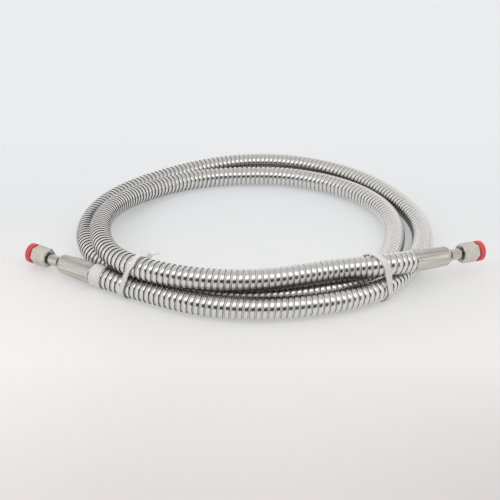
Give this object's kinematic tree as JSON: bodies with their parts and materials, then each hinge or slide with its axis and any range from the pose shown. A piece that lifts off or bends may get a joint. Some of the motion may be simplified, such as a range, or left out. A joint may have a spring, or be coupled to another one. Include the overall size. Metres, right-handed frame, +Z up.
{
  "type": "armoured flexible hose",
  "caption": "Coiled stainless-steel armoured hose with a crimped ferrule, cone-headed stem, swivel nut and push-in plug at each end, held in a coil by nylon cable ties.",
  "frame": {"origin": "on the floor under the middle of the whole object, fittings included", "axes": "+Z up; +X to the right and +Y away, seen from the side that both hose ends point out from; the coil lies flat in the XY plane"},
  "size_m": [0.4462, 0.3646, 0.046],
  "materials": {
    "armour_steel": "bright stripwound stainless steel",
    "braid_steel": "braided wire",
    "liner_white": "natural polymer",
    "band_white": "matt white film",
    "fitting_steel": "satin, crimped",
    "insert_steel": "turned",
    "o_ring_rubber": "moulded",
    "nut_steel": "satin",
    "plug_red": "moulded",
    "tie_nylon": "natural nylon"
  },
  "bodies": {
    "hose": {"armour": "armour_steel", "braid": "braid_steel", "liner": "liner_white", "label_band": "band_white", "left_ferrule": "fitting_steel", "left_insert": "insert_steel", "left_o_ring": "o_ring_rubber", "right_ferrule": "fitting_steel", "right_insert": "insert_steel", "right_o_ring": "o_ring_rubber", "left_cable_tie": "tie_nylon", "right_cable_tie": "tie_nylon"},
    "left_nut": {"left_nut": "nut_steel"},
    "left_plug": {"left_plug": "plug_red"},
    "right_nut": {"right_nut": "nut_steel"},
    "right_plug": {"right_plug": "plug_red"}
  },
  "joints": [
    {"name": "left_nut_swivel", "type": "hinge", "parent": "hose", "child": "left_nut", "pos_m": [-0.20558, -0.07469, 0.01352], "axis": [-0.8387, 0.5446, 0.0035], "continuous": true},
    {"name": "left_plug_pull", "type": "slide", "parent": "left_nut", "child": "left_plug", "axis": [-0.8387, 0.5446, 0.0035], "range_m": [0, 0.012]},
    {"name": "right_nut_swivel", "type": "hinge", "parent": "hose", "child": "right_nut", "pos_m": [0.20562, -0.08958, 0.02564], "axis": [0.8826, 0.4595, -0.0993], "continuous": true},
    {"name": "right_plug_pull", "type": "slide", "parent": "right_nut", "child": "right_plug", "axis": [0.8826, 0.4595, -0.0993], "range_m": [0, 0.012]}
  ]
}
